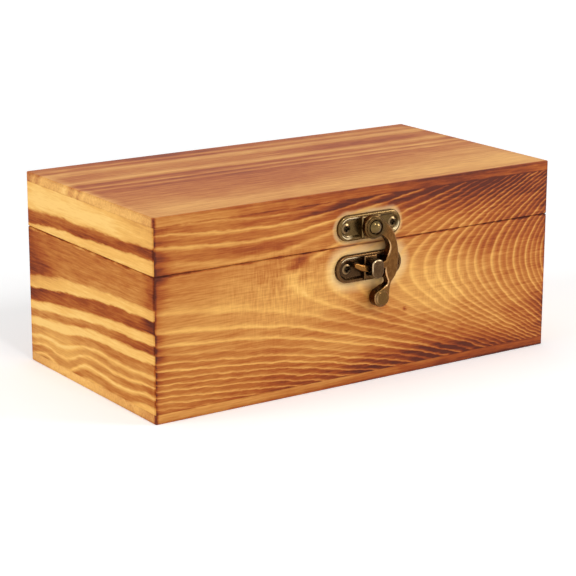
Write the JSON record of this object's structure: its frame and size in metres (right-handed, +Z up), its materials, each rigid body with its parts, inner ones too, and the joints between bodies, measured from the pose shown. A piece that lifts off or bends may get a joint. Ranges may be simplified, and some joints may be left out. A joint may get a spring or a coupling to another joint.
{
  "type": "hinged tea box",
  "caption": "Wooden box with compartments for tea bags, a lid on butt hinges and a swing-hook latch with a staple.",
  "frame": {"origin": "middle of the underside's footprint, on the surface that the box stands on", "axes": "+X along the front to the right, +Y from front to back, +Z up; the latch faces -Y"},
  "size_m": [0.2, 0.1173, 0.0835],
  "materials": {
    "carcass_pine": "scorched, waxed",
    "panel_pine": "scorched, waxed",
    "divider_wood": "sanded",
    "latch_brass": "antique",
    "hook_brass": "antique",
    "hinge_brass": "antique",
    "screw_brass": "antique"
  },
  "bodies": {
    "base": {"base_front_board": "carcass_pine", "base_back_board": "carcass_pine", "base_left_board": "carcass_pine", "base_right_board": "carcass_pine", "bottom_panel": "panel_pine", "divider_1": "divider_wood", "divider_2": "divider_wood", "latch_lower_plate": "latch_brass", "latch_staple": "latch_brass", "latch_lower_screws": "screw_brass", "left_hinge_base_leaf": "hinge_brass", "left_hinge_base_screws": "screw_brass", "left_hinge_pin": "hinge_brass", "right_hinge_base_leaf": "hinge_brass", "right_hinge_base_screws": "screw_brass", "right_hinge_pin": "hinge_brass"},
    "lid": {"lid_front_board": "carcass_pine", "lid_back_board": "carcass_pine", "lid_left_board": "carcass_pine", "lid_right_board": "carcass_pine", "top_panel": "panel_pine", "latch_upper_plate": "latch_brass", "latch_rivet": "latch_brass", "latch_upper_screws": "screw_brass", "left_hinge_lid_leaf": "hinge_brass", "left_hinge_lid_screws": "screw_brass", "right_hinge_lid_leaf": "hinge_brass", "right_hinge_lid_screws": "screw_brass"},
    "hook": {"latch_hook": "hook_brass"}
  },
  "joints": [
    {"name": "lid_hinge", "type": "hinge", "parent": "base", "child": "lid", "pos_m": [0, 0.05485, 0.0598], "axis": [-1, 0, 0], "range_deg": [0, 180]},
    {"name": "latch_swing", "type": "hinge", "parent": "lid", "child": "hook", "pos_m": [0.0023, -0.05675, 0.0675], "axis": [0, -1, 0], "range_deg": [0, 180]}
  ]
}
